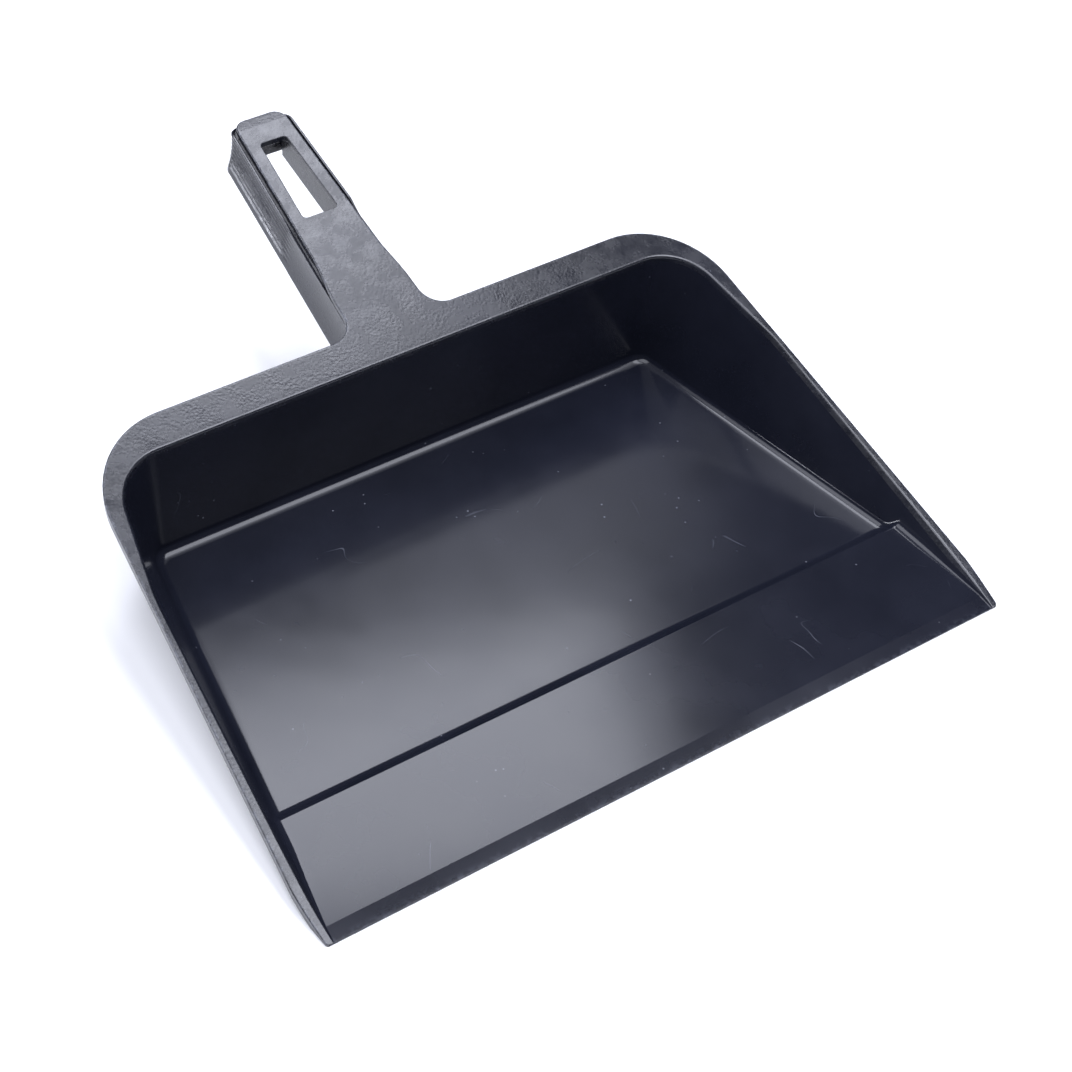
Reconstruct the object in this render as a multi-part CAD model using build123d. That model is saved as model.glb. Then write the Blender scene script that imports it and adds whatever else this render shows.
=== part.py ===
from build123d import *
import math
import os

# Lobby dustpan, moulded in one shot in black polypropylene.
# Millimetres, +Z up, +Y from the sweeping lip towards the handle, mirror symmetric about X = 0.
# The origin is on the ground, in the middle of the overall length and width.
# The moulding is written as its separate walls, panels and rims, which meet face to face.

# ---- driving dimensions ------------------------------------------------------------------
LIP_WIDTH = 311.0            # straight sweeping edge, end to end
PAN_DEPTH = 209.5            # lip to the outer edge of the back flange
HANDLE_REACH = 110.5         # back flange to the end of the handle
RIM_HEIGHT = 64.0            # top of the flange at its outer back edge
RIM_FRONT_HEIGHT = 1.5       # top of the rim where it runs out at the lip
SHEET = 2.6                  # general wall thickness
FLOOR = 2.5                  # floor thickness

# pan inside, measured at the ground plane
FLOOR_BACK_Y = 195.5
FLOOR_BACK_HALF = 119.2
RIDGE_Y = 52.3
FLOOR_RIDGE_HALF = 142.9
FLOOR_CORNER_R = 6.0

# rim, in plan
FLANGE = 14.3                # width of the back flange
RIM_BACK_HALF = 142.3        # outer edge, at the level of the back flange
RIM_FRONT_HALF = 156.6       # outer edge where it starts to turn in to the lip
RIM_TURN_Y = 22.0
RIM_CORNER_R = 40.0
MOUTH_CORNER_R = 24.5        # inner edge of the flange
SIDE_RIM_FRONT = 3.9         # width of the side rim at the lip
SIDE_RIM_BACK = 2.3          # and where the flange starts to widen towards the corner
FLANGE_START_Y = 139.0
FLANGE_SIDE = 10.1           # width of the flange beside the mouth's back corner, were it sharp
MOUTH_SETBACK = 0.2          # the mouth's back edge lies this far behind the flange's inner edge
FOLD = 2.0                   # thickness of the lip that turns down round the rim
FOLD_DROP = 4.4              # its height below the top of the rim

# ramp and ridge
RIDGE_HEIGHT = 6.6
STEP_TOP_Y = RIDGE_Y + 2.2
STEP_FOOT_Y = RIDGE_Y + 3.4
BEVEL_Y = 6.5                # fold line of the sweeping bevel
BEVEL_HEIGHT = 2.1
LIP_THICKNESS = 0.9
RAMP_SHEET = 2.7
HOLLOW_START = 8.0           # the hollow below the ramp starts this far behind the fold line

# handle
HANDLE_ROOT_HALF = 18.3
HANDLE_END_HALF = 13.4
HANDLE_ROOT_R = 10.0
HANDLE_END_R = 5.5
SKIRT_DROP = 20.0            # height of the skirts below the top of the plate
SKIRT_FLARE = 3.6            # how far their feet stand out beyond the plate
SKIRT_SHEET = 2.4
GRIP_SHEET = 4.6             # the skirts are thicker beside the slot, with an upright inner face
PAD_SHEET = 1.2              # ribbed grip pads on the skirts
PAD_TOP = 3.0                # their upper edge, below the top of the plate
PAD_LEAD = 3.0               # they start this far before the slot
PAD_END = 1.0                # and stop this far before the end of the handle
SLOT_NEAR = 57.0             # hanging slot, from the back flange
SLOT_LENGTH = 39.5
SLOT_NEAR_HALF = 8.2
SLOT_FAR_HALF = 6.1
SLOT_R = 1.8

# ---- what follows from them --------------------------------------------------------------
LENGTH = PAN_DEPTH + HANDLE_REACH
FRONT = -LENGTH / 2                       # Y of the lip
SLOPE = (RIM_HEIGHT - RIM_FRONT_HEIGHT) / PAN_DEPTH
RIM_TAPER = (RIM_FRONT_HALF - RIM_BACK_HALF) / (PAN_DEPTH - RIM_TURN_Y)
HANDLE_TAPER = (HANDLE_ROOT_HALF - HANDLE_END_HALF) / HANDLE_REACH
FLOOR_TAPER = (FLOOR_RIDGE_HALF - FLOOR_BACK_HALF) / (FLOOR_BACK_Y - RIDGE_Y)
MOUTH_Y = PAN_DEPTH - FLANGE
GRIP_Y = PAN_DEPTH + SLOT_NEAR - PAD_LEAD

# bodies that cut others run past the faces they make
MOUTH_LIFT = 3.0                          # the pan's block ends this far above the rim
MOUTH_LEAN = 0.4                          # and widens this much for each millimetre of that
OVERRUN = 20.0                            # sheets run this far past both ends of the object
FRONT_OVERRUN = 6.0                       # and the pan's block this far in front of the lip
ABOVE = -5.0                              # depth of a cut that starts above the plate
BIG = 400.0


def rim_top(y):
    """Height of the plane that the rim and the handle lie in, y measured from the lip."""
    return RIM_FRONT_HEIGHT + SLOPE * y


def rim_half(y):
    """Outer half width of the rim, y measured from the lip."""
    return RIM_BACK_HALF + RIM_TAPER * (PAN_DEPTH - y)


def handle_half(y):
    """Half width of the handle's plate, y measured from the lip."""
    return HANDLE_ROOT_HALF - HANDLE_TAPER * (y - PAN_DEPTH)


def slab(top, bottom):
    """Sheet parallel to the rim plane, between two depths below it, cut off at the ground."""
    y_from = -OVERRUN
    y_to = LENGTH + OVERRUN
    profile = Polyline(
        (y_from, rim_top(y_from) - top),
        (y_to, rim_top(y_to) - top),
        (y_to, rim_top(y_to) - bottom),
        (y_from, rim_top(y_from) - bottom),
        close=True,
    )
    sheet = along_x(profile, -BIG / 2, BIG / 2)
    return sheet & block(-BIG, BIG, y_from, y_to, 0, BIG)


def along_x(profile, x_from, x_to):
    """Sweep a closed outline given as (y, z) along X."""
    face = make_face(Plane.YZ * profile)
    return Pos(x_from, 0, 0) * extrude(face, x_to - x_from, dir=(1, 0, 0))


def block(x_from, x_to, y_from, y_to, z_from, z_to):
    """Plain box between two corners."""
    size = (x_to - x_from, y_to - y_from, z_to - z_from)
    middle = ((x_from + x_to) / 2, (y_from + y_to) / 2, (z_from + z_to) / 2)
    return Pos(*middle) * Box(*size)


def mirrored(solid):
    """The left-hand twin of a right-hand piece."""
    return mirror(solid, about=Plane.YZ)


def pan_outline(right_side, corner_r):
    """Closed plan outline of the pan from its right side, front to back, with round back corners."""
    left_side = [(-x, y) for x, y in reversed(right_side)]
    face = make_face(Polyline(*right_side, *left_side, close=True))
    back = face.vertices().sort_by(Axis.Y)[-2:]
    return fillet(back, corner_r)


def pan_body(grow):
    """Tapered block of the pan's inside, or of its outside when grown by the sheet."""
    foot_side = [
        (FLOOR_BACK_HALF + FLOOR_TAPER * (FLOOR_BACK_Y - y) + grow, y)
        for y in (-FRONT_OVERRUN, FLANGE_START_Y)
    ]
    foot_side.append((FLOOR_BACK_HALF + grow, FLOOR_BACK_Y + grow))
    foot = pan_outline(foot_side, FLOOR_CORNER_R + grow)

    # the upper outline lies a little above the rim, on a plane parallel to it
    tilt = math.atan(SLOPE)
    stretch = 1 / math.cos(tilt)
    out = MOUTH_LIFT * MOUTH_LEAN + grow
    mouth_side = [
        (rim_half(-FRONT_OVERRUN) - SIDE_RIM_FRONT + out, -FRONT_OVERRUN * stretch),
        (rim_half(FLANGE_START_Y) - SIDE_RIM_BACK + out, FLANGE_START_Y * stretch),
        (rim_half(MOUTH_Y) - FLANGE_SIDE + out, (MOUTH_Y + MOUTH_SETBACK + grow) * stretch),
    ]
    mouth = pan_outline(mouth_side, MOUTH_CORNER_R + grow)
    plane = Plane(
        origin=(0, 0, rim_top(0) + MOUTH_LIFT),
        x_dir=(1, 0, 0),
        z_dir=(0, -math.sin(tilt), math.cos(tilt)),
    )
    return loft([foot, plane * mouth], ruled=True)


def rim_outline(inset):
    """Outer plan outline of the rim, moved in by inset, closed well in front of the lip."""
    turn = (rim_half(RIM_TURN_Y) - inset, RIM_TURN_Y)
    lip = (LIP_WIDTH / 2 - inset, 0)
    back = (RIM_BACK_HALF - inset, PAN_DEPTH - inset)
    corners = Polyline(
        (-lip[0], lip[1]),
        lip,
        turn,
        back,
        (-back[0], back[1]),
        (-turn[0], turn[1]),
        close=True,
    )
    face = make_face(corners)
    ends = face.vertices().sort_by(Axis.Y)[-2:]
    return fillet(ends, RIM_CORNER_R - inset)


def handle_outline():
    """Plan outline of the handle, from inside the flange to its rounded end."""
    root_y = PAN_DEPTH - FLANGE / 2
    corners = Polyline(
        (handle_half(root_y), root_y),
        (handle_half(LENGTH), LENGTH),
        (-handle_half(LENGTH), LENGTH),
        (-handle_half(root_y), root_y),
        close=True,
    )
    face = make_face(corners)
    ends = face.vertices().sort_by(Axis.Y)[-2:]
    return fillet(ends, HANDLE_END_R)


def prism(face):
    """Vertical prism on a plan outline, from the ground to above the object."""
    return extrude(face, BIG / 2, dir=(0, 0, 1))


# ---- the bodies that every piece is cut from ---------------------------------------------
inside = pan_body(0)
shell = pan_body(SHEET) - inside
under_rim = block(-BIG, BIG, 0, BIG, 0, BIG) & slab(SHEET, BIG)
walls = shell & under_rim
rim_plan = rim_outline(0)
rim_sheet = (prism(rim_plan) & slab(0, SHEET)) - inside
fold_ring = prism(rim_plan) - prism(rim_outline(FOLD)) - prism(handle_outline())
rim_fold = (fold_ring & slab(SHEET, FOLD_DROP)) - pan_body(SHEET)
rim = rim_sheet + rim_fold

# the corner pieces are cut off just past the round corners
CORNER_MARGIN = 4.0
corner_y = PAN_DEPTH - RIM_CORNER_R - CORNER_MARGIN
corner_x = RIM_BACK_HALF - RIM_CORNER_R - CORNER_MARGIN


# ---- pan ---------------------------------------------------------------------------------
def floor_panel():
    """Flat floor, from the foot of the ridge to the back wall."""
    return inside & block(-BIG, BIG, STEP_FOOT_Y, BIG, 0, FLOOR)


def ridge_step():
    """Raised bar that keeps the sweepings from sliding back out."""
    profile = Polyline(
        (RIDGE_Y, 0),
        (RIDGE_Y, RIDGE_HEIGHT),
        (STEP_TOP_Y, RIDGE_HEIGHT),
        (STEP_FOOT_Y, FLOOR),
        (STEP_FOOT_Y, 0),
        close=True,
    )
    return inside & along_x(profile, -BIG / 2, BIG / 2)


def ramp_panel():
    """Sloping sheet from the bevel up to the ridge, hollow underneath."""
    profile = Polyline(
        (BEVEL_Y, 0),
        (BEVEL_Y, BEVEL_HEIGHT),
        (RIDGE_Y, RIDGE_HEIGHT),
        (RIDGE_Y, RIDGE_HEIGHT - RAMP_SHEET),
        (BEVEL_Y + HOLLOW_START, 0),
        close=True,
    )
    return inside & along_x(profile, -BIG / 2, BIG / 2)


def sweeping_lip():
    """Bevelled front edge that lies flat on the ground."""
    profile = Polyline((0, 0), (0, LIP_THICKNESS), (BEVEL_Y, BEVEL_HEIGHT), (BEVEL_Y, 0), close=True)
    strip = along_x(profile, -BIG / 2, BIG / 2)
    ends = block(-LIP_WIDTH / 2, LIP_WIDTH / 2, 0, BEVEL_Y, 0, RIDGE_HEIGHT)
    return strip & ends & (inside + walls)


def wall_piece(x_from, x_to, y_from, y_to):
    """Part of the pan's wall between upright planes."""
    return walls & block(x_from, x_to, y_from, y_to, 0, BIG)


# ---- rim ---------------------------------------------------------------------------------
def rim_piece(x_from, x_to, y_from, y_to):
    """Part of the rim between upright planes, with its turned-down fold."""
    return rim & block(x_from, x_to, y_from, y_to, 0, BIG)


# ---- handle ------------------------------------------------------------------------------
def slot_prism():
    """Cutter for the hanging slot."""
    near_y = PAN_DEPTH + SLOT_NEAR
    far_y = near_y + SLOT_LENGTH
    corners = Polyline(
        (-SLOT_NEAR_HALF, near_y),
        (SLOT_NEAR_HALF, near_y),
        (SLOT_FAR_HALF, far_y),
        (-SLOT_FAR_HALF, far_y),
        close=True,
    )
    face = make_face(corners)
    return prism(fillet(face.vertices(), SLOT_R))


def handle_plate():
    """Top of the handle, in one plane with the flange."""
    root_half = 2 * HANDLE_ROOT_HALF
    flange_plan = make_face(Polyline(
        (-root_half, PAN_DEPTH - FLANGE / 2),
        (root_half, PAN_DEPTH - FLANGE / 2),
        (root_half, PAN_DEPTH),
        (-root_half, PAN_DEPTH),
        close=True,
    ))
    plan = flange_plan + handle_outline()
    roots = [
        vertex
        for vertex in plan.vertices().filter_by_position(Axis.Y, PAN_DEPTH - 0.1, PAN_DEPTH + 0.1)
        if abs(vertex.X) < root_half - 1
    ]
    plan = fillet(roots, HANDLE_ROOT_R)
    plate = prism(plan) & slab(0, SHEET) & block(-BIG, BIG, PAN_DEPTH, BIG, 0, BIG)
    return plate - slot_prism()


def skirt_foot(depth):
    """How far the skirt's outer face stands out at a depth below the top of the plate."""
    return SKIRT_FLARE * (depth - SHEET) / (SKIRT_DROP - SHEET)


def skirt_section(y, inner_top, inner_foot):
    """Upright section of the right-hand skirt at y, with its inner face given from the plate's edge."""
    z_top = rim_top(y) - SHEET
    z_foot = rim_top(y) - SKIRT_DROP
    half = handle_half(y)
    return make_face(Polyline(
        (half - inner_top, y, z_top),
        (half, y, z_top),
        (half + SKIRT_FLARE, y, z_foot),
        (half - inner_foot, y, z_foot),
        close=True,
    ))


def handle_skirt():
    """Right-hand side wall of the handle, from the pan's back wall to the end wall."""
    start = MOUTH_Y
    finish = LENGTH - SKIRT_SHEET
    sheet = (SKIRT_SHEET, SKIRT_SHEET - SKIRT_FLARE)
    thick = (GRIP_SHEET, GRIP_SHEET)
    wall = loft([skirt_section(start, *sheet), skirt_section(finish, *sheet)], ruled=True)
    grip = loft([skirt_section(GRIP_Y, *thick), skirt_section(finish, *thick)], ruled=True)
    return (wall + grip) - pan_body(SHEET) - rim_fold - slab(ABOVE, SHEET)


def handle_end():
    """End wall that closes the skirts, with a slight outward flare."""
    near = LENGTH - SKIRT_SHEET
    z_top = rim_top(near) - SHEET
    z_foot = rim_top(LENGTH) - SKIRT_DROP
    half = handle_half(LENGTH)
    face = make_face(Polyline(
        (-half, near, z_top),
        (half, near, z_top),
        (half + SKIRT_FLARE, near, z_foot),
        (-half - SKIRT_FLARE, near, z_foot),
        close=True,
    ))
    wall = extrude(face, SKIRT_SHEET, dir=(0, 1, 0))
    return wall - slab(ABOVE, SHEET)


def grip_pad():
    """Ribbed band on the outside of the right-hand skirt, beside the slot."""
    sections = []
    for y in (GRIP_Y, LENGTH - PAD_END):
        z_top = rim_top(y) - PAD_TOP
        z_foot = rim_top(y) - SKIRT_DROP
        x_top = handle_half(y) + skirt_foot(PAD_TOP)
        x_foot = handle_half(y) + SKIRT_FLARE
        sections.append(make_face(Polyline(
            (x_top, y, z_top),
            (x_top + PAD_SHEET, y, z_top - PAD_SHEET),
            (x_foot + PAD_SHEET, y, z_foot + PAD_SHEET),
            (x_foot, y, z_foot),
            close=True,
        )))
    return loft(sections, ruled=True) - handle_skirt() - handle_end()


# ---- write one file for each piece -------------------------------------------------------
right = {
    "side_wall": wall_piece(0, BIG, RIDGE_Y, corner_y),
    "corner_wall": wall_piece(corner_x, BIG, corner_y, BIG),
    "ramp_cheek": wall_piece(0, BIG, 0, RIDGE_Y) - sweeping_lip(),
    "corner_flange": rim_piece(corner_x, BIG, corner_y, BIG),
    "side_rim": rim_piece(0, BIG, 0, corner_y),
    "handle_skirt": handle_skirt(),
    "grip_pad": grip_pad(),
}
pieces = {
    "floor_panel": floor_panel(),
    "ridge_step": ridge_step(),
    "ramp_panel": ramp_panel(),
    "sweeping_lip": sweeping_lip(),
    "back_wall": wall_piece(-corner_x, corner_x, corner_y, BIG),
    "back_flange": rim_piece(-corner_x, corner_x, corner_y, BIG),
    "handle_plate": handle_plate(),
    "handle_end": handle_end(),
}
for name, solid in right.items():
    pieces["right_" + name] = solid
    pieces["left_" + name] = mirrored(solid)

os.makedirs("parts", exist_ok=True)
for name, solid in pieces.items():
    placed = Pos(0, FRONT, 0) * solid
    solids = placed.solids()
    body = solids[0] if len(solids) == 1 else Compound(children=solids)
    export_step(body, f"parts/{name}.step")
    box = placed.bounding_box()
    print(name, len(solids), round(placed.volume), [round(v, 1) for v in (*box.min, *box.max)])
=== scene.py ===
# %% [markdown]
# # A moulded dustpan
#
# This lesson takes the finish of a black lobby dustpan from plain construction solids to a
# rendered object. The solids come from the frame, already at their real size, and everything
# that is built here lies in the same place, in metres, with +Y from the sweeping lip towards
# the handle and +Z up. The real pan is one injection moulding, so the aim is three skins that
# read as one piece of plastic: the tray, the rim with the handle's plate, and the channel
# that the hand closes round.

# %% Load the frame
import math
import bmesh
import bpy
import numpy as np
from mathutils import Matrix, Vector
from mathutils.geometry import tessellate_polygon


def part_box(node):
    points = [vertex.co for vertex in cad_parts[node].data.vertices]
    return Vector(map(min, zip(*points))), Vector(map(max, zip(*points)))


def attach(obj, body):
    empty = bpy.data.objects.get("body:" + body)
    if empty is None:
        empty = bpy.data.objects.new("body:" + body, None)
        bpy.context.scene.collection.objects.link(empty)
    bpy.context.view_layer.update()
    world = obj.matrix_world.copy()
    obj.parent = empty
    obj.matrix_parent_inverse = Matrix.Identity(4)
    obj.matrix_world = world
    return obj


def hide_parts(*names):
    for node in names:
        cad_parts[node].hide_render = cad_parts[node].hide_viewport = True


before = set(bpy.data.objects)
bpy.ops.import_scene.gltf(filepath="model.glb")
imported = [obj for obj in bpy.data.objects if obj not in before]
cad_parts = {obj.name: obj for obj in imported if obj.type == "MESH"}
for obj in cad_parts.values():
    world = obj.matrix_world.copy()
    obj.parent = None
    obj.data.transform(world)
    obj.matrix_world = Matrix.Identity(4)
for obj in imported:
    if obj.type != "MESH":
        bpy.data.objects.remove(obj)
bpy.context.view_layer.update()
MM = 0.001

# %% [markdown]
# Working sizes are easier to think about in millimetres, so each box of the frame is read once
# in millimetres, with Y measured from the sweeping lip. What the boxes don't tell, such as
# radii and drafts, is named here, next to what they do tell.


# %% Sizes
def corners(node):
    """Lowest and highest corner of a node in millimetres."""
    return [np.array(corner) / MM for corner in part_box(node)]


LIP_LOW, LIP_HIGH = corners("sweeping_lip")
RIDGE_LOW, RIDGE_HIGH = corners("ridge_step")
FLOOR_HIGH = corners("floor_panel")[1]
BACK_HIGH = corners("back_flange")[1]
PLATE_HIGH = corners("handle_plate")[1]
SIDE_HIGH = corners("right_side_rim")[1]

LIP_Y = LIP_LOW[1]
BEVEL_Y = LIP_HIGH[1] - LIP_Y
BEVEL_Z = LIP_HIGH[2]
RIDGE_Y = RIDGE_LOW[1] - LIP_Y
RIDGE_Z = RIDGE_HIGH[2]
STEP_FOOT_Y = RIDGE_HIGH[1] - LIP_Y
FLOOR_Z = FLOOR_HIGH[2]
PAN_DEPTH = BACK_HIGH[1] - LIP_Y
HANDLE_END = PLATE_HIGH[1] - LIP_Y
SLOPE = (PLATE_HIGH[2] - BACK_HIGH[2]) / (HANDLE_END - PAN_DEPTH)
RIM_FRONT_Z = BACK_HIGH[2] - SLOPE * PAN_DEPTH

SHEET = 2.6                # wall thickness
LIP_HALF = 155.5           # half the length of the sweeping lip
LIP_THICKNESS = 0.9
LIP_CORNER = 1.0           # plan radius of its two ends
RAMP_SHEET = 2.7
FOOT_BACK_HALF = 119.2     # inside of the side wall on the ground, where it would meet the back wall
FOOT_BACK_Y = 195.5
FOOT_TAPER = 0.1655        # how fast it widens towards the lip
FOOT_RADIUS = 6.0          # plan radius of the tray's back corners
SIDE_FILLET = 4.2          # where the floor turns up into the side walls
BACK_FILLET = 4.4          # and into the back wall
FLANGE = 15.0              # width of the flat rim across the back
MOUTH_Y = PAN_DEPTH - FLANGE
MOUTH_RADIUS = 24.5
RIM_TURN_Y = 22.0          # where the rim's sides start to turn in to the lip
RIM_TAPER = 0.0763         # how fast the sides widen towards it
RIM_BACK_HALF = SIDE_HIGH[0] - RIM_TAPER * (PAN_DEPTH - RIM_TURN_Y)
RIM_RADIUS = 38.0
SIDE_RIM_FRONT = 3.9       # width of the side rim at the lip
SIDE_RIM_BACK = 2.3        # and where the flange starts to widen towards the corner
FLANGE_START_Y = 139.0
FLANGE_SIDE = 10.1         # width of the flange beside the mouth's back corner, were it sharp
FOLD = 2.0                 # thickness of the edge that turns down round the rim
FOLD_DROP = 4.4
print("tray", round(PAN_DEPTH, 1), "deep, rim climbs", round(math.degrees(math.atan(SLOPE)), 1), "degrees")

# %% [markdown]
# The camera comes before the shapes, so that every later step can be looked at from the
# angle that matters. It is aimed by azimuth, elevation and roll at a point on the ground, the
# way one sets a tripod head.

# %% Camera
AIM = Vector((0.0192, -0.0311, 0.0))
AZIMUTH, ELEVATION, ROLL = math.radians(37.22), math.radians(44.94), math.radians(4.36)
DISTANCE = 0.9563
LENS = 78.83
forward = Vector((
    math.sin(AZIMUTH) * math.cos(ELEVATION),
    math.cos(AZIMUTH) * math.cos(ELEVATION),
    -math.sin(ELEVATION),
))
level = Vector((math.cos(AZIMUTH), -math.sin(AZIMUTH), 0.0))
upward = level.cross(forward)
right = level * math.cos(ROLL) + upward * math.sin(ROLL)
top = upward * math.cos(ROLL) - level * math.sin(ROLL)
camera = bpy.data.objects.new("camera", bpy.data.cameras.new("camera"))
camera.data.lens = LENS
camera.data.sensor_width = 36.0
camera.matrix_world = Matrix((
    (right.x, top.x, -forward.x, AIM.x - forward.x * DISTANCE),
    (right.y, top.y, -forward.y, AIM.y - forward.y * DISTANCE),
    (right.z, top.z, -forward.z, AIM.z - forward.z * DISTANCE),
    (0.0, 0.0, 0.0, 1.0),
))
bpy.context.scene.collection.objects.link(camera)
bpy.context.scene.camera = camera
print("camera at", [round(v, 3) for v in camera.matrix_world.translation])

# %% [markdown]
# ## Tools for a moulding
#
# A moulding is a sheet of even thickness that follows an outline, with every edge rounded.
# It could be built by bending a grid with modifiers, but then no edge would lie exactly where
# it should. Here each point is worked out, and two small tools are enough. The first rounds
# the corners of a cross-section with true arcs, at every station along the outline at once.

# %% Round the corners of a section
ARC_STEPS = 5


def rounded(corner_rows, radii, steps=ARC_STEPS, reach=0.48):
    """Cross-sections with round corners: each row is one corner at all stations, (stations, 3).

    An arc takes up no more than the reach, a share of the shorter side beside its corner.
    """
    rows = [corner_rows[0]]
    for before, corner, after, radius in zip(corner_rows, corner_rows[1:], corner_rows[2:], radii):
        back, ahead = before - corner, after - corner
        back_length = np.linalg.norm(back, axis=-1, keepdims=True)
        ahead_length = np.linalg.norm(ahead, axis=-1, keepdims=True)
        back, ahead = back / back_length, ahead / ahead_length
        half_angle = np.arccos(np.clip((back * ahead).sum(axis=-1, keepdims=True), -1, 1)) / 2
        leg = np.minimum(radius / np.tan(half_angle), reach * np.minimum(back_length, ahead_length))
        middle_weight = np.sin(half_angle)
        for share in np.linspace(0, 1, steps + 1):
            a, b, c = (1 - share) ** 2, 2 * share * (1 - share) * middle_weight, share ** 2
            point = a * (corner + back * leg) + b * corner + c * (corner + ahead * leg)
            rows.append(point / (a + b + c))
    rows.append(corner_rows[-1])
    return np.stack(rows, axis=-2)


def rounded_line(points, radii, steps=ARC_STEPS, reach=0.48):
    """One open outline with round corners."""
    rows = [np.array(point, float)[None] for point in points]
    return rounded(rows, radii, steps, reach)[0]


print("one round corner makes an outline of", len(rounded_line([(0, 0), (9, 0), (9, 9)], [2])), "points")

# %% [markdown]
# The second tool collects patches of faces, welds them into one closed skin and gives it its
# material. Each point also carries a weight for wear, which the material reads later. A weld
# that leaves no open edge is the proof that the skin is a solid one.

# %% Collect patches and weld them
WELD = 0.003 * MM          # points closer than this are one point
SHARP_DEGREES = 38         # an edge that turns more than this is shaded as an edge


class Skin:
    """Patches of one moulded skin, in millimetres with Y from the lip."""

    def __init__(self):
        self.points = []
        self.faces = []
        self.wear = []

    def add(self, points, faces, wear):
        start = len(self.points)
        self.points.extend(points)
        self.faces.extend([[start + index for index in face] for face in faces])
        self.wear.extend(wear)

    def grid(self, points, wear=None):
        """Four-sided faces between neighbouring rows of points, (rows, columns, 3)."""
        rows, columns = points.shape[:2]
        faces = [
            (r * columns + c, r * columns + c + 1, (r + 1) * columns + c + 1, (r + 1) * columns + c)
            for r in range(rows - 1)
            for c in range(columns - 1)
        ]
        weights = np.zeros((rows, columns)) if wear is None else np.broadcast_to(wear, (rows, columns))
        self.add(points.reshape(-1, 3), faces, weights.ravel())

    def fill(self, *loops):
        """Triangles across a flat outline, whose later loops are holes."""
        points = np.concatenate(loops)
        triangles = tessellate_polygon([[Vector(point) for point in loop] for loop in loops])
        self.add(points, triangles, np.zeros(len(points)))

    def build(self, name, material, body, nodes):
        """The welded mesh as a piece that stands for its nodes."""
        mesh = bpy.data.meshes.new(name)
        bm = bmesh.new()
        wear = bm.verts.layers.float.new("wear")
        verts = []
        for (x, y, z), weight in zip(self.points, self.wear):
            vert = bm.verts.new((x * MM, (y + LIP_Y) * MM, z * MM))
            vert[wear] = weight
            verts.append(vert)
        for face in self.faces:
            bm.faces.new([verts[index] for index in face])
        bmesh.ops.remove_doubles(bm, verts=bm.verts, dist=WELD)
        bmesh.ops.dissolve_degenerate(bm, edges=bm.edges, dist=WELD)
        bmesh.ops.recalc_face_normals(bm, faces=bm.faces)
        open_edges = sum(not edge.is_manifold for edge in bm.edges)
        for face in bm.faces:
            face.smooth = True
        bm.to_mesh(mesh)
        bm.free()
        mesh.set_sharp_from_angle(angle=math.radians(SHARP_DEGREES))
        mesh.materials.append(material)
        piece = bpy.data.objects.new(name, mesh)
        bpy.context.scene.collection.objects.link(piece)
        shading = piece.modifiers.new("even_shading", "WEIGHTED_NORMAL")
        shading.keep_sharp = True
        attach(piece, body)
        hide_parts(*nodes)
        print(name, len(mesh.polygons), "faces,", open_edges, "open edges")
        return piece


def with_height(plan, height):
    """Plan points (stations, 2) lifted to a height."""
    return np.column_stack([plan, np.broadcast_to(height, len(plan))])


MIRROR = np.array([-1.0, 1.0, 1.0])
SIDES = (np.ones(3), MIRROR)


def both_sides(half):
    """Whole path, from its right half whose last station is on the middle plane."""
    mirrored = half[::-1][1:] * MIRROR
    return np.concatenate([half, mirrored])


def rim_top(y):
    """Height of the plane of the rim and the handle."""
    return RIM_FRONT_Z + SLOPE * y


# %% [markdown]
# ## Stations along the pan
#
# Every cross-section of the pan stands at a station on a path that starts at the right end of
# the lip, runs along the side wall, turns the corner and reaches the middle of the back. The
# same stations serve the foot of the wall, its top and the rim's outer edge, so the pieces
# meet point to point. Rows are close together where the floor profile bends.

# %% Floor profile
LIP_ROUND = 0.42
CREST_Y = RIDGE_Y + 0.3    # the corners of the ridge, before they are rounded
CREST_FOOT_Y = STEP_FOOT_Y + 0.8
HOLLOW_START = 8.0         # the hollow below the ramp starts this far behind the bevel
STEP_HALF = 0.1            # and ends in a step this far before and behind the ridge
floor_line = rounded_line(
    [(0, LIP_THICKNESS / 2), (0, LIP_THICKNESS), (BEVEL_Y, BEVEL_Z), (CREST_Y, RIDGE_Z),
     (CREST_FOOT_Y, FLOOR_Z), (FOOT_BACK_Y, FLOOR_Z)],
    [LIP_ROUND, 2.5, 2.2, 5.0],
)
under_line = rounded_line(
    [(0, LIP_THICKNESS / 2), (0, 0), (BEVEL_Y + HOLLOW_START, 0), (RIDGE_Y - STEP_HALF, RIDGE_Z - RAMP_SHEET),
     (RIDGE_Y + STEP_HALF, 0), (FOOT_BACK_Y, 0)],
    [LIP_ROUND, 2.0, 0.5, 0.5],
)


def floor_z(y):
    """Height of the upper side of the lip, ramp, ridge and floor."""
    return np.interp(y, floor_line[:, 0], floor_line[:, 1])


def under_z(y):
    """Height of their underside."""
    return np.interp(y, under_line[:, 0], under_line[:, 1])


print("ridge", round(float(floor_line[:, 1].max()), 2), "mm high, floor", round(float(FLOOR_Z), 2))

# %% Stations
CORNER_STEPS = 14
BACK_STEPS = 10
ROOT_STEPS = 6
ROOT_RADIUS = 10.0
HANDLE_ROOT_HALF = 18.3
HANDLE_END_HALF = 13.4
HANDLE_TAPER = (HANDLE_ROOT_HALF - HANDLE_END_HALF) / (HANDLE_END - PAN_DEPTH)
STRAIGHT_Y = 100.0         # up to here, stations stand square to the middle plane
LIP_ROWS = [1.2, 2, 3, 10, 14, 18, 22, 27, 33, 40, 46]  # extra rows where the rim turns in to the lip
FLOOR_ROWS = 22
CLOSEST = 0.02

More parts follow.
